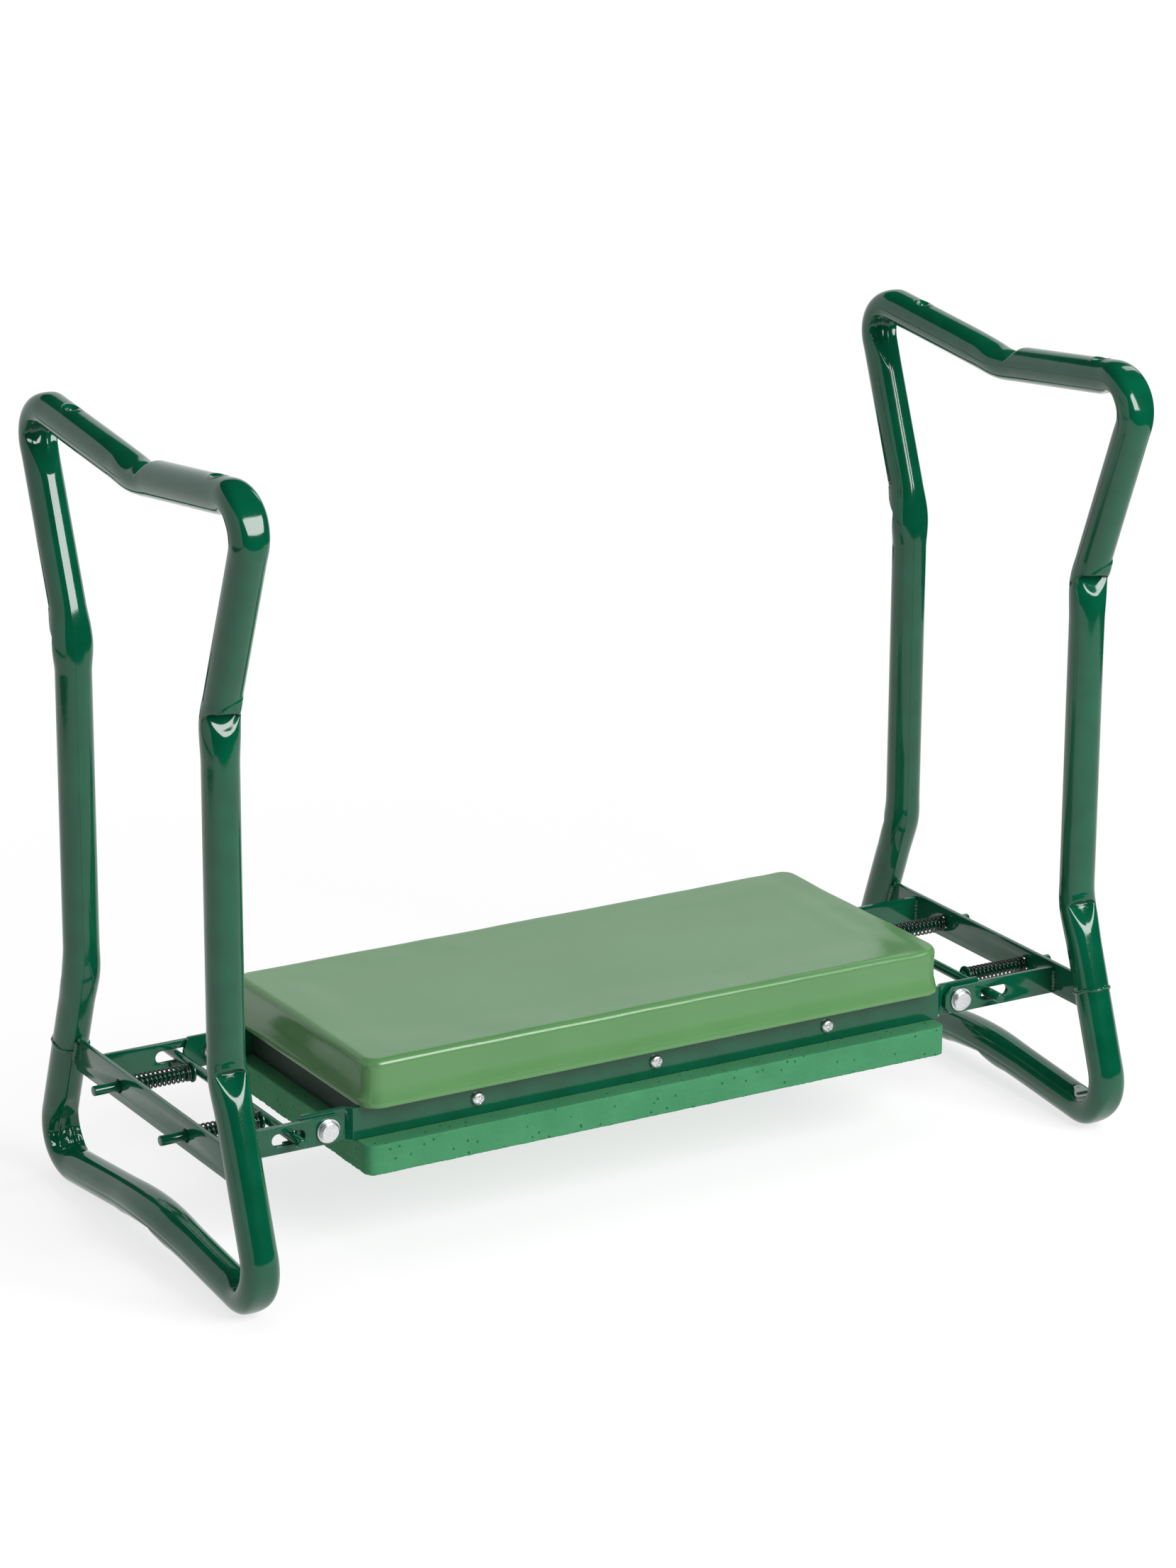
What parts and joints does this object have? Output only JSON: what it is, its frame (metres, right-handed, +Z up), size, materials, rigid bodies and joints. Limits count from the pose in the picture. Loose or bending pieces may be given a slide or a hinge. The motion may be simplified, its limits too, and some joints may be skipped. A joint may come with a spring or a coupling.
{
  "type": "garden kneeler seat",
  "caption": "Folding garden kneeler and seat: padded board between two looped tube frames that hinge inward and are held open by sprung lock bars.",
  "frame": {"origin": "on the ground, at the middle of the object's footprint, standing as a kneeler", "axes": "+X along the seat to the right-hand end frame, -Y to the front, +Z up"},
  "size_m": [0.616, 0.2914, 0.4824],
  "materials": {
    "green_powder_coat": "gloss dark green powder coat",
    "dark_spring": "dark green, thinly painted spring steel",
    "bright_zinc": "bright zinc plate",
    "pad_skin": "semi-gloss moulded skin",
    "eva_foam": "matt closed-cell foam with fine pores",
    "board_wood": "plain board"
  },
  "bodies": {
    "seat": {"front_rail": "green_powder_coat", "rear_rail": "green_powder_coat", "left_end_wall": "green_powder_coat", "right_end_wall": "green_powder_coat", "seat_board": "board_wood", "kneeling_pad": "pad_skin", "foam_slab": "eva_foam", "left_front_hinge_pin": "bright_zinc", "left_front_hinge_washer": "bright_zinc", "left_rear_hinge_pin": "bright_zinc", "left_rear_hinge_washer": "bright_zinc", "right_front_hinge_pin": "bright_zinc", "right_front_hinge_washer": "bright_zinc", "right_rear_hinge_pin": "bright_zinc", "right_rear_hinge_washer": "bright_zinc", "front_rail_screw_left": "bright_zinc", "front_rail_screw_middle": "bright_zinc", "front_rail_screw_right": "bright_zinc", "rear_rail_screw_left": "bright_zinc", "rear_rail_screw_middle": "bright_zinc", "rear_rail_screw_right": "bright_zinc"},
    "left_frame": {"left_tube_loop": "green_powder_coat", "left_cross_plate": "green_powder_coat", "left_front_arm": "green_powder_coat", "left_rear_arm": "green_powder_coat", "left_front_lock_spring": "dark_spring", "left_rear_lock_spring": "dark_spring"},
    "right_frame": {"right_tube_loop": "green_powder_coat", "right_cross_plate": "green_powder_coat", "right_front_arm": "green_powder_coat", "right_rear_arm": "green_powder_coat", "right_front_lock_spring": "dark_spring", "right_rear_lock_spring": "dark_spring"},
    "left_lock": {"left_lock_bar": "green_powder_coat", "left_front_plunger": "green_powder_coat", "left_rear_plunger": "green_powder_coat", "left_front_spring_collar": "green_powder_coat", "left_rear_spring_collar": "green_powder_coat"},
    "right_lock": {"right_lock_bar": "green_powder_coat", "right_front_plunger": "green_powder_coat", "right_rear_plunger": "green_powder_coat", "right_front_spring_collar": "green_powder_coat", "right_rear_spring_collar": "green_powder_coat"}
  },
  "joints": [
    {"name": "left_fold", "type": "hinge", "parent": "seat", "child": "left_frame", "pos_m": [-0.218, 0, 0.0835], "axis": [0, 1, 0], "range_deg": [0, 90]},
    {"name": "right_fold", "type": "hinge", "parent": "seat", "child": "right_frame", "pos_m": [0.218, 0, 0.0835], "axis": [0, -1, 0], "range_deg": [0, 65]},
    {"name": "left_lock_slide", "type": "slide", "parent": "left_frame", "child": "left_lock", "axis": [-1, 0, 0], "range_m": [0, 0.01], "stiffness_N_per_m": 400, "springref_m": -0.005, "deforming": ["left_front_lock_spring", "left_rear_lock_spring"]},
    {"name": "right_lock_slide", "type": "slide", "parent": "right_frame", "child": "right_lock", "axis": [1, 0, 0], "range_m": [0, 0.01], "stiffness_N_per_m": 400, "springref_m": -0.005, "deforming": ["right_front_lock_spring", "right_rear_lock_spring"]}
  ]
}
